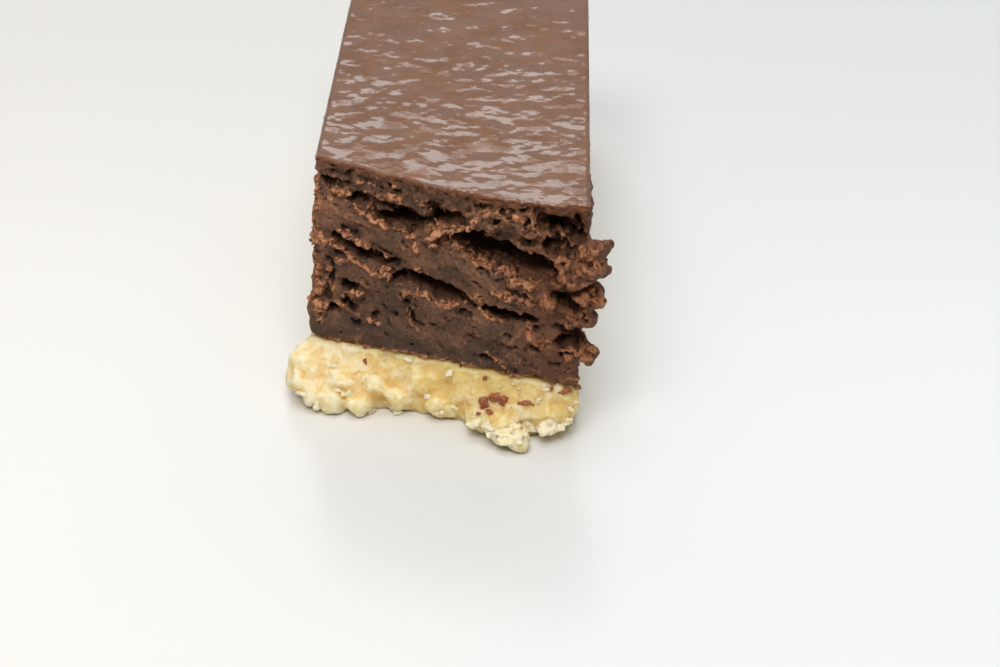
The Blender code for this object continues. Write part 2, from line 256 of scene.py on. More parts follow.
# Hollows that the fork left in the break: half width, depth, then the route, each of its points across and up
# from the cake's left foot
hollows = [
    (0.5, 1.6, 1, 20.3, 2.6, 20.7, 4.2, 21), (0.55, 2.2, 5, 19.6, 6.8, 19.7), (0.32, 1.3, 9, 21.7, 10.9, 21.5),
    (0.5, 1.6, 7.6, 19.5, 10.6, 19.4), (0.42, 1.8, 7.2, 18.3, 9.6, 17.9),
    (0.75, 2.4, 10.6, 19.3, 12, 18.9, 12.4, 17.8), (0.6, 1.8, 12.4, 17.8, 14.2, 18.2, 15.2, 18.6),
    (0.8, 2.6, 15.9, 20.3, 17.5, 19.8, 19.2, 20.1), (0.3, 1.1, 20.8, 22.6, 22.8, 22.6),
    (0.25, 0.9, 24.3, 22.5, 26, 22.4), (0.3, 1.2, 26.6, 22.8, 28.8, 22.4), (0.6, 2, 20, 18.3, 22, 18.9),
    (1.7, 0.6, 22.6, 19.9, 27, 19.2), (0.85, 2, 19.4, 17, 22.5, 16, 25.6, 14.9), (1, 2.2, 28.4, 15.6, 30.4, 14.6),
    (1.05, 3.2, 29.4, 21.1, 33.2, 20.5), (0.8, 2.8, 30, 18.3, 32.4, 18.6), (0.28, 1, 3.6, 15.7, 5.3, 15.7),
    (0.42, 2.4, 2.7, 14.5, 4.8, 13.9, 6.2, 12.9, 8.2, 12.4, 10.6, 12.6), (0.22, 0.8, 8.6, 13.9, 9.7, 13.5),
    (0.72, 2.8, 10.4, 10.7, 12.5, 11, 14.6, 10.6, 16.5, 9.9, 18.4, 9.5), (0.35, 0.9, 2.6, 12.3, 3.6, 12.2),
    (0.45, 1.6, 3.9, 8.2, 5.2, 8.3), (0.42, 1.4, 3.8, 5.9, 5, 5.2), (0.5, 1.5, 1.8, 4.4, 2.2, 5),
    (0.32, 0.9, 1.4, 5.6, 1.5, 7.4, 2.3, 9.4, 1.9, 10.8), (0.32, 1.2, 7.3, 4.9, 7.7, 4.8),
    (0.25, 0.8, 10.3, 5.4, 10.6, 5.3), (0.18, 0.6, 8, 8.3, 8.6, 8.4),
    (0.22, 1.1, 11.3, 8.1, 12.3, 7.3, 12.7, 6.2, 13, 5.1, 14, 4.6), (0.15, 0.6, 13, 7.4, 13.9, 7.1),
    (0.24, 1.1, 18.2, 7.7, 20.5, 7.5), (0.2, 0.6, 17.3, 6.9, 17.5, 6.3),
    (0.5, 3, 22.2, 8.9, 24, 8.7, 26, 8.3, 28.4, 8.2), (0.28, 1.2, 24, 7.5, 25.2, 7.8), (0.32, 1, 28.3, 4.3, 29, 4.1),
    (0.34, 0.9, 21.8, 2.1, 22.9, 2), (0.8, 2.6, 32, 5.2, 33.5, 6.2, 34, 5.2),
    (0.6, 2.4, 30.7, 12, 32.2, 11.6, 33.5, 10.8), (0.3, 0.8, 31.2, 7.9, 31.6, 7.6), (0.25, 0.9, 31.8, 3.9, 33.4, 4.2),
    (0.28, 1, 33.8, 8.9, 34.9, 8.8), (0.28, 0.9, 27, 12.3, 27.4, 11.3), (0.22, 0.7, 21.3, 13.9, 22.6, 13.5),
    (0.16, 0.5, 18.3, 14.7, 19.6, 14.2), (0.18, 0.5, 15.2, 5.5, 15.5, 5.3), (0.2, 0.6, 17.6, 4.7, 17.9, 4.3),
    (0.2, 0.5, 19.9, 4.9, 20.4, 4.6), (0.28, 1, 5, 3.4, 6.1, 2.8), (0.2, 0.6, 8.7, 2.7, 9.1, 2.4),
    (0.2, 0.6, 9.3, 4.3, 9.6, 3.9), (0.2, 0.6, 6.1, 9.6, 6.9, 9.1), (0.17, 0.5, 9, 6.4, 9.2, 5.9),
    (0.16, 0.5, 15.9, 13.4, 16.6, 13.1), (0.22, 0.7, 11.6, 15.5, 12.3, 14.9), (0.2, 0.7, 24.6, 5.6, 25.6, 5.4),
    (0.2, 0.6, 26.4, 3.3, 26.9, 3), (0.17, 0.5, 16.2, 2.4, 16.8, 2.2), (0.16, 0.5, 12.2, 1.9, 12.6, 1.7),
    (0.24, 0.8, 30.6, 2.4, 31.4, 2.7), (0.24, 0.8, 2.4, 18, 3.4, 17.6), (0.2, 0.6, 20.4, 12.4, 21.4, 11.9),
    (0.4, 1.6, 29.6, 13.6, 31, 14.3),
]
# Ridges and broken edges that stand out of the break: half width, height, how crumbled it is, and the route
ridges = [
    (0.4, 0.3, 0.7, 4.9, 21.4, 5.7, 21.9), (0.38, 0.3, 0.85, 2.6, 20, 4.2, 19.8),
    (0.36, 0.45, 1, 5.4, 18.3, 7.5, 17.6, 9.2, 17, 11.3, 17.1), (0.3, 0.3, 0.8, 11.6, 16.9, 12.7, 16.3),
    (0.3, 0.15, 0.75, 12.8, 16.4, 13.1, 15.6, 13.2, 14.8), (0.85, 1, 1, 15.1, 17.3, 16.1, 18.2, 17.6, 18.1),
    (0.48, 0.5, 1, 17.3, 18.6, 19, 18.7, 20.2, 19.6, 20.7, 20.8),
    (0.75, 0.9, 1, 15.4, 16.7, 17, 16.9, 18.6, 16.5, 19.8, 16.3),
    (0.75, 0.8, 0.9, 20.2, 15.5, 21.4, 15.5, 22.6, 14.6), (0.55, 0.5, 0.9, 22.9, 13.9, 25, 14, 26.2, 13.6),
    (0.6, 0.5, 0.9, 26, 13, 28, 13.1), (0.55, 0.5, 0.9, 23.8, 11.8, 25.6, 11.5),
    (0.3, 0.3, 0.9, 21.4, 10.2, 22.1, 10.5), (0.36, 0.55, 0.8, 2.9, 15.2, 4.5, 14.9, 6.5, 14.1, 8, 13.4, 9.6, 12.9),
    (0.42, 0.5, 0.95, 0.8, 13.7, 3.2, 13.2, 4.7, 11.9, 6.5, 11.1, 8.2, 10.7, 10.8, 11),
    (0.38, 0.4, 1, 11.8, 8.7, 13.2, 9.2, 14.8, 9, 16, 8.2, 17.2, 8.2, 18.5, 8.8, 19.6, 9.3),
    (0.36, 0.35, 0.5, 2.3, 5.3, 4, 5, 5.3, 4.3), (0.34, 0.35, 0.7, 4.2, 7, 5, 7.3, 6.4, 7.6),
    (0.26, 0.15, 0.85, 11.5, 7.2, 12.2, 6.4, 12.3, 5.2, 12.8, 4.3, 13.6, 3.9),
    (0.55, 0.2, 0.75, 27.7, 7.3, 28, 5.8, 28.7, 4.9, 30.1, 5), (0.34, 0.25, 0.7, 21.5, 8.8, 22.3, 8, 24.2, 7.3),
    (1.6, 0.3, 0.85, 31.5, 15.2, 33.7, 16.4, 35.4, 18), (1.5, 0.4, 0.12, 21.3, 20.8, 25, 20.4, 27.6, 19.7),
    (1, 0.2, 1, 33.8, 12, 35.6, 12.4, 36, 11), (1.1, 0.1, 0.9, 33, 3.6, 34.8, 4.2, 36, 4.6),
    (0.42, 0.4, 0.75, 25.8, 21.9, 28.5, 21.1, 30.3, 20.9), (0.8, 0.1, 0.6, 26.5, 11, 28.5, 11.2, 30.2, 10.7),
    (0.6, 0.2, 0.6, 29.5, 12, 30.2, 10.2), (0.5, 0.1, 0.6, 0.1, 21.5, 0.1, 17.5, 0, 12, 0.3, 7.5, 0.1, 3),
    (0.6, 0.2, 0.9, -0.4, 4.4, 0.6, 4), (0.26, 0.2, 0.5, 15.8, 11.2, 17.5, 10.5, 19.6, 9.9, 21.6, 9.6),
    (0.3, 0.1, 0.45, 0, 0.1, 12, 0.4, 24, 0.2, 35, 0.2), (0.35, 0.3, 0.55, 8, 20.6, 11.2, 20.7),
    (0.35, 0.2, 0.45, 6.7, 20.3, 7.2, 18.9), (0.5, 0.15, 0.45, 13.4, 20.9, 15.4, 20.6),
    (0.45, 0.45, 0.35, 20.9, 22, 24, 22.2, 26, 21.6), (0.4, 0.2, 0.8, 32.5, 10.3, 33.4, 10.1),
    (0.3, 0.25, 0.8, 7, 4.1, 8.3, 3.8), (0.3, 0.1, 0.5, 22.7, 2.8, 24, 1.8, 25.2, 0.9),
    (0.5, 0.2, 0.5, 1.1, 8.9, 1.9, 7.4),
]
# Chunks that hang on the break: the middle across and up, half sizes, and how crumbled each is
chunks = [
    (1.5, 20.8, 0.5, 0.26, 0.9), (7.5, 21.9, 0.5, 0.26, 1), (10.4, 22.3, 0.34, 0.22, 0.8), (1.8, 18.7, 0.36, 0.3, 1),
    (7.1, 19.2, 0.34, 0.24, 0.9), (12.9, 16.6, 0.4, 0.36, 1), (13.2, 14.9, 0.34, 0.34, 0.9),
    (15.9, 18, 0.6, 0.5, 0.9), (9.8, 11.4, 0.8, 0.42, 1), (13.9, 12, 0.85, 0.45, 0.65), (3.3, 11.2, 0.75, 0.52, 0.8),
    (5.1, 7.2, 1, 0.4, 0.7), (7.3, 4, 0.55, 0.34, 0.9), (24.8, 11.5, 1, 0.52, 1), (26.9, 13, 0.8, 0.48, 0.9),
    (25, 13.9, 0.95, 0.5, 0.8), (21.3, 15.3, 1.05, 0.52, 0.8), (30.9, 19.1, 1.1, 0.55, 1),
    (28.8, 19.4, 0.34, 0.3, 0.8), (27.9, 16.1, 0.55, 0.34, 0.8), (26, 15.4, 0.44, 0.38, 0.7),
    (34.2, 9.9, 0.42, 0.42, 1), (32.6, 8.2, 0.95, 0.58, 0.9), (33.1, 10.3, 0.5, 0.32, 0.9),
    (29.9, 11.4, 0.6, 0.7, 0.7), (27.7, 11.6, 0.3, 0.3, 1), (30.1, 5.5, 0.28, 0.28, 1), (28.2, 6.1, 0.32, 0.4, 0.9),
    (32.8, 19.9, 0.36, 0.3, 0.9), (18.2, 21.3, 0.34, 0.26, 0.9), (14.2, 20.9, 0.4, 0.26, 0.9),
    (17, 20.9, 0.3, 0.26, 0.8), (4.9, 18.9, 0.34, 0.24, 0.7), (0.2, 16.7, 0.65, 0.4, 0.8),
    (0.3, 12.6, 0.85, 0.75, 0.7), (0.3, 9.3, 0.75, 0.85, 0.7), (0.3, 4.7, 1.3, 0.55, 0.9), (0.4, 2.6, 0.7, 0.5, 0.5),
    (0.3, 20.8, 0.55, 0.4, 0.5), (0.3, 14.4, 0.6, 0.35, 0.8), (0.4, 7, 0.7, 0.4, 0.7), (34.7, 14.6, 0.7, 0.5, 0.8),
    (22.4, 21.7, 1.6, 0.7, 0.1), (24.9, 21.2, 1.5, 0.8, 0.1), (27.6, 20.8, 1, 0.6, 0.3), (32.2, 16.8, 1.1, 0.9, 0.8),
    (34, 18.4, 1, 0.9, 0.8), (35.6, 17.4, 0.8, 0.7, 0.9),
]

fine = 0.17
cake = working_copy(cake_node, "cake_layer")
fuse(cake, 0.34)
cake_points = read_points(cake)
near_break = smoothstep(cake_low[1] + 14, cake_low[1] + 9, cake_points[:, 1:2])
near_break *= smoothstep(cake_high[2] - 0.3, cake_high[2] - 1.6, cake_points[:, 2:])
wide_wander, small_wander = drift_all_ways(cake_points, 3.0, 40), drift_all_ways(cake_points, 1.3, 44)
cake_points += (0.14 + 0.20 * near_break) * wide_wander + 0.22 * near_break * small_wander
write_points(cake, cake_points)

# The plain face that the break would have without its cracks, for telling how deep a point lies
columns, rows = 76, 52
face_low = np.array([cake_low[0], cake_low[2]])
face_step = np.array([cake_high[0] - cake_low[0], cake_high[2] - cake_low[2]]) / (columns, rows)
cell = np.clip(((cake_points[:, [0, 2]] - face_low) / face_step).astype(int), 0, (columns - 1, rows - 1))
foremost = np.full((columns, rows), cake_high[1])
np.minimum.at(foremost, (cell[:, 0], cell[:, 1]), cake_points[:, 1])


def ring_mean(field):
    """The mean of each cell and the eight around it."""
    padded = np.pad(field, 1, mode="edge")
    ring = [padded[1 + i:columns + 1 + i, 1 + j:rows + 1 + j] for i in (-1, 0, 1) for j in (-1, 0, 1)]
    return np.mean(ring, axis=0)


for _ in range(5):
    foremost = np.minimum(foremost, ring_mean(foremost) - 0.05)
for _ in range(6):
    foremost = ring_mean(foremost)


def depth_behind_break(points):
    """How far behind the break's plain face each point lies, in millimetres."""
    place = (points[:, [0, 2]] - face_low) / face_step - 0.5
    place = np.clip(place, 0, (columns - 1.001, rows - 1.001))
    whole = place.astype(int)
    part = place - whole
    i, j = whole.T
    s, t = part.T
    near = foremost[i, j] * (1 - s) * (1 - t) + foremost[i + 1, j] * s * (1 - t)
    far = foremost[i, j + 1] * (1 - s) * t + foremost[i + 1, j + 1] * s * t
    return points[:, 1] - near - far


def seen_place(points):
    """Where each point shows on the break's plain face, (across, up), to someone looking down at it, with the
    small wander that keeps an edge from being even."""
    deep = np.clip(depth_behind_break(points), -1, 7)
    across = points[:, 0] - left_side + 0.05 * deep * (points[:, 0] - left_side - eye_across) / 30
    up = points[:, 2] - cake_low[2] + 0.52 * deep
    across = across + 0.40 * drift(points, 1.3, 31) + 0.26 * drift(points, 0.5, 32)
    up = up + 0.38 * drift(points, 1.3, 33) + 0.26 * drift(points, 0.5, 34)
    return across, up


def near_break_only(work, points, *settings, stretch=(1, 1, 1)):
    """What the work gives for the points near the break, one row of numbers each, and 0 for all the others."""
    near = depth_behind_break(points) < 8
    found = np.atleast_2d(work(points[near] * stretch, *settings))
    spread = np.zeros((len(found), len(points)))
    spread[:, near] = found
    return spread if len(found) > 1 else spread[0]


def sunk_share(points):
    """Depth in millimetres of the hollows at each point."""
    across, up = seen_place(points)
    depth = np.zeros(len(points))
    patchy = 1 + 0.55 * drift(points, 1.7, 37) + 0.35 * drift(points, 0.6, 38)
    for reach, most, *route in hollows:
        depth = np.maximum(depth, most * smoothstep(1.3, 0.6, near_route(across, up, route) / (reach * patchy)))
    return depth * (1 + 0.35 * drift(points, 1.0, 39))


def raised_share(points):
    """Height in millimetres of the ridges at each point, and how crumbled it is, from 0 to 1."""
    across, up = seen_place(points)
    height, torn = np.zeros(len(points)), np.zeros(len(points))
    patchy = 1 + 0.75 * drift(points, 1.5, 35) + 0.3 * drift(points, 0.6, 36)
    for reach, most, crumbled, *route in ridges:
        share = smoothstep(1.5, 0.3, near_route(across, up, route) / (reach * patchy))
        height = np.maximum(height, most * share)
        torn = np.maximum(torn, crumbled * share)
    for middle_across, middle_up, wide, tall, crumbled in chunks:
        away = np.hypot((across - middle_across) / wide, (up - middle_up) / tall)
        torn = np.maximum(torn, crumbled * smoothstep(1.5, 0.9, away))
    return height, torn


def clefts(points, size, seed):
    """1 in the cracks between the lumps that crumbly makes at the same size and seed, and 0 away from them."""
    return smoothstep(0.16 * size, 0.0, broken_cells(points, size, seed)[1])


def knife_cut(points, normals):
    """1 on the sides, the far end and the top, which a knife or the tin made, and 0 on the break."""
    deep = depth_behind_break(points)
    side = np.maximum(smoothstep(0.8, 0.95, np.abs(normals[:, 0])), smoothstep(0.85, 0.97, normals[:, 2]))
    side *= smoothstep(2.0, 3.5, deep)
    return np.maximum(side, smoothstep(9, 12, deep))


def ray_tree(points, mesh):
    """A tree for casting rays at the mesh, with its points in millimetres."""
    return BVHTree.FromPolygons([tuple(p) for p in points], [tuple(f.vertices) for f in mesh.polygons])


def drop_loose(bm):
    """Deletes the points that no face uses."""
    bmesh.ops.delete(bm, geom=[v for v in bm.verts if not v.link_faces], context="VERTS")


def add_rock(bm, draws, corners, least, more, middle, half_sizes, back=Vector(), floor=-99.0):
    """Adds a convex lump of this many corners, each from least to least + more of its half sizes away from the
    middle. All of it is set back by a step, and none of it goes under the floor."""
    rock = []
    for _ in range(corners):
        way = draws.normal(size=3)
        way *= (least + more * draws.random()) / np.linalg.norm(way)
        x, y, z = middle + Vector(way * half_sizes) - back
        rock.append(bm.verts.new((x, y, max(z, floor))))
    bmesh.ops.convex_hull(bm, input=rock)


# The chunks are set where each one shows on the break, and melt into it
draws = np.random.default_rng(17)
face_tree = ray_tree(cake_points, cake.data)
eye_mm = np.array(eye) / MM
bm = bmesh.new()
bm.from_mesh(cake.data)
for middle_across, middle_up, wide, tall, crumbled in chunks:
    aim = np.array([left_side + middle_across, 0.0, cake_low[2] + middle_up])
    aim[1] = depth_behind_break(aim[None, :])[0] * -1
    ray = Vector(aim - eye_mm).normalized()
    hit = face_tree.ray_cast(Vector(aim) - ray * 20, ray)[0]
    if hit:
        add_rock(bm, draws, 18, 0.85, 0.3, hit, (wide, 0.8 * min(wide, 0.7), tall), ray * 0.1)
drop_loose(bm)
bm.to_mesh(cake.data)
bm.free()

# Lumps and wide hollows first, then a finer surface over them for the grain
fuse(cake, 0.26)
points, normals = read_shape(cake)
on_break = (1 - knife_cut(points, normals)) * smoothstep(7.5, 5.5, depth_behind_break(points))
height, torn = near_break_only(raised_share, points)
torn *= on_break
under_top = smoothstep(0.25, 0.7, cake_high[2] - points[:, 2])
across, up = points[:, 0] - left_side, points[:, 2] - cake_low[2]
layered = np.stack([points[:, 0] / 2.6, points[:, 1] / 2.2, up + 0.25 * across], axis=1)
push = on_break * under_top * (0.26 * drift(layered, 1.0, 51) + 0.16 * drift(points, 2.0, 52))
boulders = smoothstep(28.0, 30.5, across)
broken = near_break_only(crumbly, points, 1.7, 60, stretch=(0.75, 0.8, 1.15))
blocky = near_break_only(crumbly, points, 2.7, 50, stretch=(0.9, 0.9, 1.0))
cleft = near_break_only(clefts, points, 2.7, 50, stretch=(0.9, 0.9, 1.0))
push += torn * under_top * (0.50 * broken * (1 - 0.6 * boulders) + (0.85 * blocky - 0.55 * cleft) * boulders)
sponge = drift(points * (0.75, 0.75, 1.2), 1.2, 57) + 0.45 * drift(points, 0.55, 58)
rough_top = smoothstep(18.5, 20.5, up + 0.22 * across) * smoothstep(23.4, 22.8, up)
rough_top = np.maximum(rough_top, 0.4 * smoothstep(21, 26, across))
push += on_break * under_top * rough_top * (0.20 * drift(points, 1.0, 53) + 0.20 * crumbly(points, 1.5, 54))
holed = (0.15 + 0.45 * torn + 1.1 * rough_top) * (1 - 0.75 * boulders)
push -= on_break * holed * under_top * smoothstep(0.30, 0.7, sponge)
points = points + normals * push[:, None]
points[:, 1] += on_break * under_top * (near_break_only(sunk_share, points) - 1.5 * height)
write_points(cake, points)

fuse(cake, fine)
points, normals = read_shape(cake)
cut = knife_cut(points, normals)
on_break = 1 - cut
torn = near_break_only(raised_share, points)[1] * on_break
on_top = smoothstep(0.6, 0.2, cake_high[2] - points[:, 2])
across, up = points[:, 0] - left_side, points[:, 2] - cake_low[2]
layered = np.stack([points[:, 0] / 2.4, points[:, 1] / 2, up + 0.25 * across], axis=1)
boulders = smoothstep(28.0, 30.5, across)
rough_top = np.clip(smoothstep(18.0, 20.5, up + 0.22 * across) + 0.6 * smoothstep(21, 26, across), 0, 1)
ragged = smoothstep(0.12, 0.7, torn + 0.45 * drift(points, 1.0, 55) + 0.25 * rough_top)
push = on_break * (0.06 * drift(layered, 0.42, 56) + 0.05 * drift(points, 0.5, 59) + 0.06 * drift(points, 0.32, 65))
ragged *= 1 - 0.35 * boulders
push += on_break * ragged * (0.16 * (1 - 0.7 * boulders) * drift(points, 0.8, 49) + 0.08 * drift(points, 0.4, 48))
push += on_break * (0.16 * ragged + 0.03) * (1 - 0.45 * boulders) * near_break_only(crumbly, points, 1.05, 63)
push += on_break * (0.06 * ragged + 0.02) * near_break_only(crumbly, points, 0.5, 66)
away, _, number, _ = nearest_seed(points * (0.8, 1, 1.2), 1.15, 61)
hole_radius = np.where(number > 0.48 - 0.30 * rough_top, 0.08 + 0.28 * (number - 0.3 * (number < 0.7)), 0.02)
pitting = smoothstep(1, 0.3, away * (1 + 0.7 * drift(points, 0.4, 67)) / hole_radius) * (hole_radius > 0.02)
push -= on_break * (0.26 + 0.2 * ragged) * pitting * (1 - 0.6 * boulders * torn)
push -= cut * 0.22 * pitting * (number > 0.66)
push += cut * (0.07 * drift(points * (1, 1, 0.3), 0.8, 68) + 0.03 * drift(points, 0.4, 64))
push *= 1 - 0.85 * on_top
write_points(cake, points + normals * push[:, None])

# How proud or sunk each point is, which decides its colour and the shade painted into its hollows and cracks
points, normals = read_shape(cake)
proud_fine, proud_wide = (standing_out(cake, points, normals, rounds) for rounds in (6, 45))
deep = depth_behind_break(points)
cut = knife_cut(points, normals)
torn = near_break_only(raised_share, points)[1] * (1 - cut)
sunk = np.clip(near_break_only(sunk_share, points) / 1.6, 0, 1) * (1 - cut)
looks = np.stack([proud_fine, proud_wide, deep, cut, torn, sunk], axis=1)
looks = looks[thinned(cake, 196000)]
proud_fine, proud_wide, deep, cut, torn, sunk = looks.T
points = read_points(cake)


def add_attribute(piece, name, values):
    """Stores one number for each point of the piece, for its material."""
    layer = piece.data.attributes.new(name, "FLOAT", "POINT")
    layer.data.foreach_set("value", values.astype(np.float32))


def finish_mesh(piece):
    """Turns the piece from millimetres to metres and shades it smooth."""
    piece.data.transform(Matrix.Scale(MM, 4))
    piece.data.shade_smooth()


add_attribute(cake, "proud", np.clip(0.5 + proud_fine / 0.16, 0, 1))
add_attribute(cake, "wide", np.clip(0.5 + proud_wide / 0.9, 0, 1))
add_attribute(cake, "deep", np.clip(deep / 8, 0, 1))
add_attribute(cake, "cut", cut)
add_attribute(cake, "torn", torn)
add_attribute(cake, "sunk", sunk)
cake_normals = read_shape(cake)[1]


class Wire:
    """A socket of a material's or a scatter's node tree, so that node maths reads as plain expressions."""

    def __init__(self, tree, socket):
        self.tree, self.socket = tree, socket

    def add(self, kind, settings=(), inputs=(), output=0):
        """A new node of a kind, with its settings made first and then its sockets given values or links."""
        node = self.tree.nodes.new(kind)
        for name, value in dict(settings).items():
            if name == "stops":
                ramp = node.color_ramp
                while len(ramp.elements) < len(value):
                    ramp.elements.new(0.5)
                for element, (place, colour) in zip(ramp.elements, value):
                    element.position, element.color = place, (*colour, 1)
            else:
                setattr(node, name, value)
        for name, value in dict(inputs).items():
            if isinstance(value, Wire):
                self.tree.links.new(value.socket, node.inputs[name])
            else:
                node.inputs[name].default_value = value
        return Wire(self.tree, node.outputs[output])

    def maths(self, operation, first, second):
        return self.add("ShaderNodeMath", {"operation": operation}, {0: first, 1: second})

    def __add__(self, other):
        return self.maths("ADD", self, other)

    def __mul__(self, other):
        return self.maths("MULTIPLY", self, other)

    def __sub__(self, other):
        return self.maths("SUBTRACT", self, other)

    def __rsub__(self, other):
        return self.maths("SUBTRACT", other, self)

    __radd__, __rmul__ = __add__, __mul__

    def between(self, low, high):
        """0 below low, 1 above high, eased between them. It falls instead where low is over high."""
        ends = {1: low, 2: high, 3: 0.0, 4: 1.0} if low < high else {1: high, 2: low, 3: 1.0, 4: 0.0}
        return self.add("ShaderNodeMapRange", {"interpolation_type": "SMOOTHSTEP"}, {0: self, **ends})

    def tint(self, first, second):
        """A colour from first, at 0, to second, at 1."""
        ends = [end if isinstance(end, Wire) else (*end, 1) for end in (first, second)]
        return self.add("ShaderNodeMix", {"data_type": "RGBA"}, {0: self, 6: ends[0], 7: ends[1]}, output=2)

    def attribute(self, name):
        return self.add("ShaderNodeAttribute", {"attribute_name": name}, output=2)

    def part(self, axis):
        """The x, y or z, by number, of a place."""
        return self.add("ShaderNodeSeparateXYZ", inputs={"Vector": self}, output=axis)

    def noise(self, size, detail=3.0, roughness=0.6):
        """Cloudy noise over these places, with patches about this many millimetres across."""
        inputs = {"Vector": self, "Scale": 1 / (size * MM), "Detail": detail, "Roughness": roughness}
        return self.add("ShaderNodeTexNoise", inputs=inputs)

    def bump(self, strength, distance):
        """Normals bent as if this height stood out by the distance, in metres."""
        return self.add("ShaderNodeBump", inputs={"Strength": strength, "Distance": distance, "Height": self})

    def into(self, shader, name):
        """Links this wire to a socket of the shader."""
        self.tree.links.new(self.socket, shader.inputs[name])


def new_finish(name):
    """A Principled material, its shader, and a wire that carries the places on the piece."""
    made = bpy.data.materials.new(name)
    made.use_nodes = True
    shader = made.node_tree.nodes["Principled BSDF"]
    return made, shader, Wire(made.node_tree, None).add("ShaderNodeTexCoord", output=3)


def grainy_finish(name, size, dark, light, roughness):
    """A plain material in grains about this many millimetres across, between two colours."""
    made, shader, place = new_finish(name)
    place.noise(size).between(0.3, 0.7).tint(dark, light).into(shader, "Base Color")
    shader.inputs["Roughness"].default_value = roughness
    return made, shader


crumb_finish, shader, place = new_finish("chocolate_crumb_finish")
proud, wide, deep, cut, torn, sunk = map(place.attribute, ("proud", "wide", "deep", "cut", "torn", "sunk"))
patches = place.noise(2.6)
grains = place.noise(0.45, 4.0, 0.7)
specks = place.noise(0.20, 2.0)
broad = place.noise(6.0, 2.0)
streaks = place.add("ShaderNodeVectorMath", {"operation": "MULTIPLY"}, {0: place, 1: (1, 1, 0.22)})
streaks = streaks.noise(0.8)
loose = torn * 1.15 + (proud - 0.5) * 0.35 + (grains - 0.5) * 0.7 + (wide - 0.5) * 1.0 + (patches - 0.5) * 0.8
loose = loose.between(0.12, 1.15) * (1 - cut * 0.85)
mottle = (patches - 0.5) * 1.2 + (broad - 0.5) * 1.4 + (grains - 0.5) * 2.1 + (streaks - 0.5) * cut * 0.9 + 0.5
top_height = place.part(2)
mottle = (mottle - top_height.between(0.0130, 0.0085) * (1 - cut) * 0.38).between(0.0, 1.0)
smooth_cake = mottle.tint((0.077, 0.042, 0.0270), (0.225, 0.104, 0.054))
crumb_tone = (grains - 0.5) * 1.5 + (proud - 0.5) * 0.5 + (wide - 0.5) * 1.2 + (patches - 0.5) * 1.6 + 0.40
torn_cake = place.add("ShaderNodeValToRGB", {"stops": [
    (0.0, (0.125, 0.048, 0.022)), (0.45, (0.285, 0.110, 0.049)), (1.0, (0.640, 0.265, 0.120))]}, {0: crumb_tone})
colour = loose.tint(smooth_cake, torn_cake)
top_z = cake_high[2] * MM
crust = (top_height + (patches - 0.5) * 0.0012).between(top_z - 0.0018, top_z - 0.0004) * (1 - cut)
colour = (crust * 0.85).tint(colour, grains.between(0.3, 0.7).tint((0.115, 0.036, 0.014), (0.270, 0.088, 0.036)))
# Painted highlights: small light specks on proud and torn crumb, standing in for glints of light
painted_glints = ((specks - 0.5) * 1.0 + (proud - 0.5) * 0.5 + torn * 0.14).between(0.27, 0.38)
colour = (painted_glints * 0.8).tint(colour, (0.52, 0.275, 0.160))
colour = (specks.between(0.61, 0.70) * (1 - cut * 0.7) * 0.35).tint(colour, (0.38, 0.170, 0.085))
# Painted shade: small near-black specks, the shade inside pores too fine for the mesh
colour = ((0.41 - specks).between(0.0, 0.09) * (1 - cut * 0.6) * 0.6).tint(colour, (0.032, 0.014, 0.0075))
colour = (place.part(0).between(0.008, 0.014) * (1 - cut) * 0.45).tint(colour, (0.150, 0.048, 0.018))
# Painted shade: the colour goes near black deep behind the break, in the fork's hollows, in wide dips and between
# fine lumps, where shade falls
painted_hollow_shade = deep.between(0.2, 0.7) * 0.4 + (0.47 - wide).between(0.0, 0.36) * 0.55 + sunk * 0.5
painted_hollow_shade = painted_hollow_shade + (0.45 - proud).between(0.0, 0.34) * 0.5
colour = (painted_hollow_shade * (1 - cut)).between(0.0, 1.1).tint(colour, (0.0300, 0.0130, 0.0070))
colour.into(shader, "Base Color")
(0.66 - (1 - loose) * 0.16 + (grains - 0.5) * 0.25).into(shader, "Roughness")
(grains * 0.6 + specks * 0.4).bump(1.0, 0.00030).into(shader, "Normal")
shader.inputs["Specular IOR Level"].default_value = 0.26
cake.data.materials.clear()
cake.data.materials.append(crumb_finish)
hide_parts("brownie")
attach(cake, "root")


# The loose crumbs: bits of the same cake that the fork pulled free. They cling along the torn edges and on the
# crag, in clusters of small angular grains. There are twelve kinds of them, each about 1 across.
draws = np.random.default_rng(21)
crumb_kinds = bpy.data.collections.new("crumb_kinds")
for index in range(12):
    bm = bmesh.new()
    add_rock(bm, draws, 8, 0.20, 0.36, Vector(), (1.15, 0.85, 0.6))
    drop_loose(bm)
    bmesh.ops.subdivide_edges(bm, edges=[e for e in bm.edges if e.calc_length() > 0.45], cuts=1)
    bmesh.ops.triangulate(bm, faces=bm.faces)
    for vertex in bm.verts:
        vertex.co *= 1 + 0.22 * (draws.random() - 0.5)
    bmesh.ops.recalc_face_normals(bm, faces=bm.faces)
    piece_from(bm, f"crumb_kind_{index}", crumb_kinds)


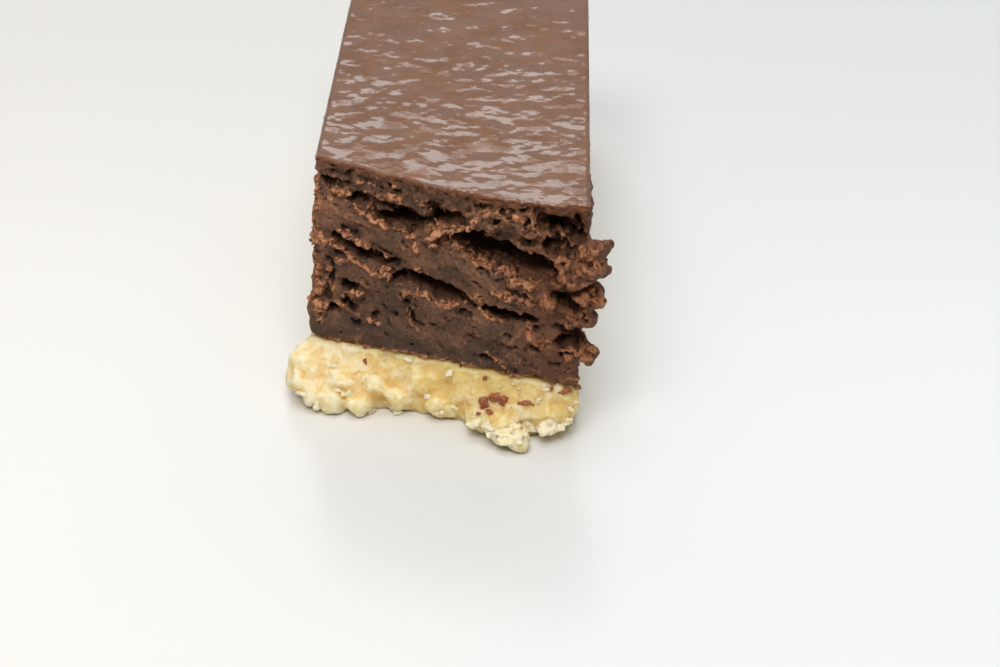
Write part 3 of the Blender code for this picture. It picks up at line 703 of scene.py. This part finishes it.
def scatter_tree(name, per_square, smallest, largest, finish):
    """Geometry nodes that scatter crumbs over a surface, thickest where its "hold" attribute is 1."""
    tree = bpy.data.node_groups.new(name, "GeometryNodeTree")
    for title, way in (("Surface", "INPUT"), ("Crumbs", "OUTPUT")):
        tree.interface.new_socket(title, in_out=way, socket_type="NodeSocketGeometry")
    node = Wire(tree, None).add
    hold = node("GeometryNodeInputNamedAttribute", {"data_type": "FLOAT"}, {"Name": "hold"})
    spread = node("GeometryNodeDistributePointsOnFaces", {"distribute_method": "RANDOM"},
                  {"Mesh": node("NodeGroupInput"), "Density": hold * per_square, "Seed": 4})
    turn = node("FunctionNodeRandomValue", {"data_type": "FLOAT_VECTOR"},
                {0: (0, 0, 0), 1: (6.283, 6.283, 6.283), "Seed": 5})
    draw, tone = (node("FunctionNodeRandomValue", {"data_type": "FLOAT"}, {2: 0.0, 3: 1.0, "Seed": seed}, output=1)
                  for seed in (6, 7))
    size = node("ShaderNodeMapRange", inputs={
        "Value": draw.maths("POWER", draw, 2.2), "To Min": smallest, "To Max": largest})
    shapes = node("GeometryNodeCollectionInfo", inputs={
        "Collection": crumb_kinds, "Separate Children": True, "Reset Children": True})
    placed = node("GeometryNodeInstanceOnPoints", inputs={
        "Points": spread, "Instance": shapes, "Rotation": turn, "Scale": size, "Pick Instance": True})
    toned = node("GeometryNodeStoreNamedAttribute", {"data_type": "FLOAT", "domain": "INSTANCE"},
                 {"Geometry": placed, "Value": tone, "Name": "tone"})
    realized = node("GeometryNodeRealizeInstances", inputs={"Geometry": toned})
    finished = node("GeometryNodeSetMaterial", inputs={"Geometry": realized, "Material": finish})
    tree.links.new(finished.socket, tree.nodes.new("NodeGroupOutput").inputs[0])
    return tree


def scatter_crumbs(surface, name, hold, *settings):
    """A plain mesh piece of crumbs on a surface in millimetres, with hold from 0 to 1 at each of its points. The
    settings are the crumbs for each square millimetre, the smallest, the largest, and the material."""
    piece = linked(bpy.data.objects.new(name, surface.data.copy()))
    add_attribute(piece, "hold", hold)
    modify(piece, "NODES", node_group=scatter_tree(name, *settings))
    return piece


bit_finish, shader, place = new_finish("loose_crumb_finish")
tone = place.attribute("tone")
grains = place.noise(0.3, 3.0, 0.7)
colour = (tone + (grains - 0.5) * 0.9).between(0.15, 1.25).tint((0.085, 0.034, 0.017), (0.46, 0.180, 0.080))
colour.into(shader, "Base Color")
grains.bump(0.6, 0.0001).into(shader, "Normal")
shader.inputs["Roughness"].default_value = 0.6
shader.inputs["Specular IOR Level"].default_value = 0.3
proud_fine, proud_wide, deep, cut, torn, sunk = looks.T
faces_out = smoothstep(0.5, -0.2, cake_normals[:, 1])
hold = np.clip(torn - 0.25, 0, 1) * faces_out * smoothstep(-0.05, 0.25, proud_wide)
hold = hold * smoothstep(5.0, 3.0, deep) + 0.012 * (1 - cut) * faces_out
hold *= smoothstep(0.3, 0.8, drift(points, 2.2, 47) + 0.75)
dusty = 0.15 * faces_out * (1 - cut) * smoothstep(0.0, 0.6, drift(points, 3.0, 46) + 0.35)
dusty = dusty + 0.03 * cut * (np.abs(cake_normals[:, 2]) < 0.7)
bits = scatter_crumbs(cake, "chocolate_crumbs", hold, 3.4, 0.24, 1.45, bit_finish)
dust = scatter_crumbs(cake, "crumb_dust", hold * 0.6 + dusty, 6.0, 0.10, 0.36, bit_finish)
for piece in (bits, dust):
    piece.data.transform(Matrix.Scale(MM, 4))
    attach(piece, "root")
finish_mesh(cake)


# The baked skin: the top of the batter dried to a thin glossy film that sank and wrinkled as it cooled. It
# was cut with the sides and tore a little proud of the crumb along the break.
tree = ray_tree(node_points, cake_node.data)
skin_across, skin_along = ((150, 330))
skin_thick, skin_half_width = 0.26, 17.56


def top_level(x, y):
    """The height of the cake's top at a place, or nothing outside it."""
    hit = tree.ray_cast(Vector((x, y, cake_high[2] + 5)), Vector((0, 0, -1)))[0]
    return hit.z if hit and hit.z > cake_high[2] - 1.2 else None


skin_edge = []
for column in range(skin_across + 1):
    x = left_side + finger_width * column / skin_across
    x = min(max(x, top_middle - 17.25), top_middle + 17.25)
    y = cake_low[1]
    while top_level(x, y) is None and y < cake_high[1]:
        y += 0.05
    skin_edge.append(y)
skin_edge = np.array(skin_edge)
share_across = np.linspace(0, 1, skin_across + 1)
edge_points = np.stack([share_across * finger_width, skin_edge, np.zeros(skin_across + 1)], axis=1)
frayed = 0.55 + 0.75 * smoothstep(0.5, 0.75, share_across)
tear = 0.22 * drift(edge_points, 1.6, 70) + 0.24 * drift(edge_points, 0.6, 71) + 0.12 * drift(edge_points, 0.3, 69)
skin_edge = skin_edge - 0.06 + tear * frayed
# Rows of points run from the tear straight back to the cut end
front = skin_edge[:, None]
along = front + (cake_high[1] - 0.02 - front) * np.linspace(0, 1, skin_along + 1) ** 1.25
drawn_in = 0.55 * smoothstep(1.5, 0.0, cake_high[1] - along) ** 2
aside = top_middle + (skin_half_width - drawn_in) * (2 * share_across[:, None] - 1)
flat = np.stack([aside.ravel(), along.ravel(), np.zeros(along.size)], axis=1)
stretched = flat * (1.0, 0.9, 1)
wander = np.stack([drift(flat, 5, 72), drift(flat, 5, 73), np.zeros(len(flat))], axis=1)
ripple = 0.072 * drift(stretched + wander * 0.5, 2.4, 74) + 0.032 * drift(stretched + wander * 0.3, 1.1, 75)
ripple += 0.07 * drift(stretched, 6.0, 76) + 0.011 * drift(flat, 0.55, 77)
ripple *= 0.80 + 0.28 * smoothstep(-0.35, 0.45, drift(flat, 7.0, 70))
away, _, number, _ = nearest_seed(flat, 1.9, 78)
ripple += 0.05 * (number > 0.6) * smoothstep(0.34, 0.0, away) - 0.07 * (number < 0.12) * smoothstep(0.3, 0.05, away)
behind = (along - front).ravel()
ripple += 0.05 * smoothstep(1.2, 0.0, behind) * drift(flat, 0.9, 79)
level = np.full(len(flat), cake_high[2] - 0.15)
side_drop = np.repeat(np.minimum(share_across, 1 - share_across) * finger_width, skin_along + 1)
edge_fall = 0.26 * smoothstep(0.45, 0.0, side_drop) + 0.16 * smoothstep(0.35, 0.0, behind)
over = level + 0.20 + ripple - edge_fall
front_lip = smoothstep(0.1, 0.0, behind)
under = level - skin_thick + 0.08 * drift(flat, 1.0, 80) - front_lip * (0.22 + 0.25 * drift(flat, 0.7, 81))
bm = bmesh.new()
tops = [bm.verts.new((x, y, z)) for (x, y, _), z in zip(flat, over)]
feet = [bm.verts.new((x, y + 0.16, z)) for (x, y, _), z in zip(flat, under)]
numbers = np.arange(len(flat)).reshape(along.shape)
for a, b in zip(numbers[:-1, :-1].flat, numbers[1:, :-1].flat):
    bm.faces.new((tops[a], tops[b], tops[b + 1], tops[a + 1]))
rim = [*numbers[:, 0], *numbers[-1, 1:], *numbers[-2::-1, -1], *numbers[0, -2:0:-1]]
for index, (a, b) in enumerate(zip(rim, rim[1:] + rim[:1])):
    torn_face = bm.faces.new((tops[b], tops[a], feet[a], feet[b]))
    torn_face.material_index = 1 if index < skin_across else 0
foot_ring = [feet[i] for i in rim]
drop_loose(bm)
bm.faces.new(foot_ring)
bmesh.ops.recalc_face_normals(bm, faces=bm.faces)
skin = piece_from(bm, "baked_skin")
finish_mesh(skin)
skin_finish, shader, place = new_finish("baked_skin_finish")
bend = place.add("ShaderNodeTexNoise", inputs={"Vector": place, "Scale": 260.0, "Detail": 3.0}, output=1)
push = place.add("ShaderNodeVectorMath", {"operation": "SUBTRACT"}, {0: bend, 1: (0.5, 0.5, 0.5)})
push = place.add("ShaderNodeVectorMath", {"operation": "SCALE"}, {0: push, "Scale": 0.0045})
bent = place.add("ShaderNodeVectorMath", {"operation": "ADD"}, {0: place, 1: push})
film = bent.noise(3.6, 2.0, 0.5)
patches = place.noise(5.0)
grains = place.noise(0.6, 4.0, 0.65)
specks = place.noise(0.35, 1.0)
nearer = place.part(1).between(0.02, -0.028)
broad = place.noise(11.0, 1.0, 0.5)
film_gloss_and_painted_sheen = (film + (broad - 0.5) * 0.6 + (grains - 0.5) * 0.55 + nearer * 0.04).between(0.38, 0.60)
colour = patches.between(0.3, 0.7).tint((0.160, 0.072, 0.036), (0.250, 0.116, 0.061))
colour = ((grains - 0.5) * 2.0 + 0.5).between(0.0, 1.0).tint(colour, (0.205, 0.092, 0.047))
# Painted sheen: where the film lies the colour is paler and greyer, partly the film's own paler tone and partly the
# window's reflection painted in
colour = (film_gloss_and_painted_sheen * 0.16).tint(colour, (0.255, 0.172, 0.140))
colour = (specks.between(0.67, 0.74) * 0.7).tint(colour, (0.46, 0.25, 0.15))
colour.into(shader, "Base Color")
(0.6 + (grains - 0.5) * 0.12).into(shader, "Roughness")
(0.3 + film_gloss_and_painted_sheen * 0.7).into(shader, "Coat Weight")
wrinkles = bent.noise(1.3, 2.0, 0.5)
creases = bent.noise(0.5, 2.0, 0.5)
height = grains * 0.34 + wrinkles * 0.6 + creases * 0.65 + specks.between(0.66, 0.76) * 0.7
height.bump(0.6, 0.00013).into(shader, "Normal")
shader.inputs["Specular IOR Level"].default_value = 0.15
shader.inputs["Coat Roughness"].default_value = 0.075
skin.data.materials.append(skin_finish)
rim_finish, _ = grainy_finish("torn_skin_finish", 0.5, (0.085, 0.026, 0.011), (0.270, 0.094, 0.040), 0.5)
skin.data.materials.append(rim_finish)
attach(skin, "root")


# The shortbread base: butter, flour and sugar rubbed together, pressed into the tin and baked, so it is pale
# grains bound by golden butter-rich paste. It broke in lumps that spill out past the cake's foot.
base = working_copy(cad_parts["shortbread_base"], "shortbread_layer")
fuse(base, 0.4)
points = read_points(base)
write_points(base, points + 0.3 * drift_all_ways(points, 2.4, 90))
fuse(base, 0.19)
points, normals = read_shape(base)
foot_line = np.interp(points[:, 0], [left_side, left_side + finger_width], [cake_low[1] + 8, cake_low[1]])
behind = points[:, 1] - foot_line
rough_end = smoothstep(9, 5, behind)
push = (0.06 + 0.06 * rough_end) * crumbly(points, 2.8, 93)
push += (0.08 + 0.24 * rough_end) * drift(points, 2.4, 90) + (0.06 + 0.14 * rough_end) * drift(points, 1.1, 91)
push += 0.085 * crumbly(points, 1.2, 97)
push += 0.05 * crumbly(points, 0.65, 101) + 0.04 * drift(points, 0.4, 96)
on_floor = smoothstep(0.6, 0.1, points[:, 2]) * (normals[:, 2] < -0.5)
under_cake = smoothstep(7.0, 7.4, points[:, 2]) * (normals[:, 2] > 0.6)
push *= (1 - on_floor) * (1 - 0.7 * under_cake)
points = points + normals * push[:, None]
points[:, 2] = np.maximum(points[:, 2], 0.0)
write_points(base, points)
points, normals = read_shape(base)
proud_fine, proud_wide = (standing_out(base, points, normals, rounds) for rounds in (5, 40))
source = thinned(base, 190000)
add_attribute(base, "proud", np.clip(0.5 + proud_fine[source] / 0.14, 0, 1))
add_attribute(base, "wide", np.clip(0.5 + proud_wide[source] / 0.9, 0, 1))
base_points, base_normals = read_shape(base)
base_tree = ray_tree(base_points, base.data)
base_finish, shader, place = new_finish("shortbread_finish")
proud, wide = place.attribute("proud"), place.attribute("wide")
patches = place.noise(3.0, 2.0, 0.5)
grains = place.noise(0.8)
side_place, end_place = place.part(0), place.part(1)
at_break = end_place.between(-0.020, -0.032)
pale = (patches - 0.5) * (1.1 + at_break * 1.3) + (grains - 0.5) * (2.2 - at_break * 1.2) + (wide - 0.5) * 0.8
# The left side, most of all at the break, is painted paler, partly paler dry lumps there and partly the brighter
# light falling there painted in
pale = pale + (proud - 0.5) * 0.8 + side_place.between(0.005, -0.016) * (0.10 + at_break * 0.52)
pale = (pale + (1 - at_break) * 0.25 + end_place.between(-0.0405, -0.0460) * 0.5).between(-0.20, 1.35)
colour = pale.tint((0.840, 0.600, 0.215), (0.935, 0.785, 0.505))
colour = ((0.5 - wide).between(0.12, 0.5) * 0.4).tint(colour, (0.76, 0.50, 0.140))
colour.into(shader, "Base Color")
(0.5 + pale * 0.25).into(shader, "Roughness")
grains.bump(0.25, 0.00015).into(shader, "Normal")
shader.inputs["Subsurface Weight"].default_value = 0.85
shader.inputs["Subsurface Radius"].default_value = (1.0, 0.90, 0.66)
shader.inputs["Subsurface Scale"].default_value = 0.0034
base.data.materials.clear()
base.data.materials.append(base_finish)
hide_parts("shortbread_base")
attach(base, "root")


# Crumbs on the shortbread: flakes and grains of it that broke loose, whiter than the rest because they are dry,
# and bits of chocolate crumb that fell on it when the finger was pulled apart.
def aimed_at(pixel_across, pixel_down):
    """The way from the eye to a place in the picture, counted from its top left corner."""
    picture_wide, picture_high = 1000, 667
    focal = camera_data.lens / camera_data.sensor_width * picture_wide
    way = Vector(((pixel_across - picture_wide / 2) / focal, (picture_high / 2 - pixel_down) / focal, -1))
    return (camera.matrix_world.to_3x3() @ way).normalized()


def fallen_crumbs(name, places, rocks, flatness, finish, seed):
    """A piece of broken lumps, each at a place in the picture with its half width and half height, and lying on
    the shortbread or the plate there."""
    draws = np.random.default_rng(seed)
    bm = bmesh.new()
    for pixel_across, pixel_down, wide, tall in places:
        way = aimed_at(pixel_across, pixel_down)
        hit, normal = base_tree.ray_cast(eye / MM, way)[:2]
        if hit is None:
            hit = eye / MM + way * ((tall * 0.4 - eye.z / MM) / way.z)
            normal = Vector((0, 0, 1))
        for _ in range(rocks):
            middle = hit + normal * 0.1 + Vector(draws.uniform(-0.5, 0.5, 3) * (wide, tall, tall))
            half_sizes = (wide, flatness * max(wide, tall), tall)
            add_rock(bm, draws, 12, 0.55, 0.3, middle, half_sizes, floor=0.02)
    drop_loose(bm)
    piece = piece_from(bm, name)
    fuse(piece, 0.13)
    points, normals = read_shape(piece)
    push = 0.10 * crumbly(points, 0.7, seed) + 0.07 * drift(points, 0.4, seed + 5)
    points = points + normals * push[:, None]
    points[:, 2] = np.maximum(points[:, 2], 0.0)
    write_points(piece, points)
    thin_out(piece, 40000)
    finish_mesh(piece)
    piece.data.materials.append(finish)
    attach(piece, "root")


# Each crumb's place in the picture, across and down, and its half width and half height in millimetres
flakes = [
    (477, 421, 1.2, 0.8), (488, 427, 1.2, 0.9), (498, 435, 1.6, 0.8), (508, 438, 1.5, 0.8), (516, 441, 1, 0.6),
    (511, 427, 1.2, 0.8), (530, 429, 2, 1.2), (542, 429, 1.9, 1.1), (522, 436, 1.5, 0.9), (556, 427, 1.4, 0.8),
    (527, 422, 1.6, 1), (549, 424, 1.4, 0.9), (566, 421, 1, 0.7), (499, 386, 0.4, 0.5), (518, 388, 0.35, 0.3),
    (541, 402, 0.6, 0.6), (546, 389, 0.6, 0.3), (521, 399, 0.4, 0.2), (499, 404, 0.45, 0.25), (452, 372, 0.9, 0.5),
    (365, 380, 0.7, 0.6), (343, 391, 1.3, 0.7), (331, 366, 0.8, 0.5), (370, 412, 0.9, 0.6), (410, 360, 0.8, 0.45),
    (427, 396, 0.8, 0.4), (317, 405, 0.9, 0.6), (383, 359, 0.5, 0.4), (302, 392, 0.9, 0.6), (396, 414, 0.8, 0.5),
    (438, 412, 0.9, 0.5), (455, 408, 0.7, 0.5), (572, 408, 0.6, 0.5),
]
flake_finish, shader = grainy_finish("dry_flake_finish", 0.7, (0.91, 0.745, 0.44), (0.950, 0.84, 0.61), 0.6)
shader.inputs["Subsurface Weight"].default_value = 0.5
shader.inputs["Subsurface Radius"].default_value = (1.0, 0.92, 0.80)
shader.inputs["Subsurface Scale"].default_value = 0.0008
fallen_crumbs("shortbread_flakes", flakes, 3, 0.7, flake_finish, 31)
chocolate_bits = [
    (485.5, 378, 0.45, 0.5), (496, 397, 1, 0.75), (503, 401, 0.95, 0.75), (486, 402, 1.05, 0.8),
    (482, 409, 0.6, 0.45), (489, 413, 0.75, 0.36), (478, 414, 0.42, 0.25), (523, 403, 0.8, 0.38),
    (531, 405, 0.5, 0.3), (550, 388, 0.4, 0.35), (562, 393, 0.5, 0.38), (568, 390, 0.65, 0.5), (575, 387, 0.75, 0.55),
    (474, 365, 0.8, 0.3), (492, 360, 0.5, 0.32), (366, 362, 0.45, 0.5), (401, 352, 0.45, 0.3), (553, 377, 0.45, 0.3),
]
fallen_finish, _ = grainy_finish("fallen_crumb_finish", 0.5, (0.230, 0.066, 0.026), (0.430, 0.150, 0.062), 0.6)
fallen_crumbs("fallen_chocolate_crumbs", chocolate_bits, 5, 0.8, fallen_finish, 33)
grain_hold = smoothstep(0.75, 0.3, base_normals[:, 2]) * smoothstep(0.3, 1.0, base_points[:, 2])
grain_hold *= 0.16 + 0.84 * smoothstep(cake_low[1] + 12, cake_low[1] + 6, base_points[:, 1])
grain_hold *= smoothstep(0.2, 0.8, drift(base_points, 2.5, 87) + 0.6)
grains_piece = scatter_crumbs(base, "shortbread_grains", grain_hold, 0.3, 0.45, 1.5, flake_finish)
points = read_points(grains_piece)
points[:, 2] = np.maximum(points[:, 2], 0.0)
write_points(grains_piece, points)
grains_piece.data.transform(Matrix.Scale(MM, 4))
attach(grains_piece, "root")
finish_mesh(base)


# The plate is a plain glazed white surface, lit by a wide window behind, a paler room in front, and a broad
# light overhead.
bm = bmesh.new()
bmesh.ops.create_grid(bm, x_segments=1, y_segments=1, size=3)
floor = piece_from(bm, "plate")
plate_finish, shader, place = new_finish("plate_finish")
# Painted light: the plate is painted warmer at the left and cooler at the right, standing in for warm and cool light
# falling there
colour = place.part(0).between(-0.08, 0.08).tint((0.775, 0.758, 0.722), (0.722, 0.745, 0.752))
colour.into(shader, "Base Color")
shader.inputs["Roughness"].default_value = 0.22
shader.inputs["Specular IOR Level"].default_value = 0.22
floor.data.materials.append(plate_finish)


def add_light(name, kind, power, colour, **settings):
    """A light of this kind, with its other settings by name."""
    light = bpy.data.lights.new(name, kind)
    light.energy, light.color = power, colour
    for setting, value in settings.items():
        setattr(light, setting, value)
    return linked(bpy.data.objects.new(name, light))


for name, place, aim, wide, high, power, colour in (
        ("window", (0.0, 1.0, 0.80), (0, 0, 0.03), 1.3, 0.52, 4.7, (0.95, 0.98, 1.0)),
        ("room_front", (-0.06, -0.65, 0.95), (0, -0.03, 0.02), 0.8, 0.4, 8.4, (1.0, 0.985, 0.96))):
    lamp = add_light(name, "AREA", power, colour, shape="RECTANGLE", size=wide, size_y=high)
    lamp.location = place
    lamp.rotation_euler = (Vector(aim) - Vector(place)).to_track_quat("-Z", "Y").to_euler()
lamp = add_light("overhead", "SUN", 1.15, (1.0, 0.985, 0.96), angle=math.radians(35))
lamp.rotation_euler = (math.radians(-5), 0, 0)
world = bpy.data.worlds.new("room")
world.use_nodes = True
world.node_tree.nodes["Background"].inputs["Color"].default_value = (0.93, 0.95, 0.96, 1)
world.node_tree.nodes["Background"].inputs["Strength"].default_value = 0.21
bpy.context.scene.world = world
bpy.context.scene.view_settings.view_transform = "Standard"
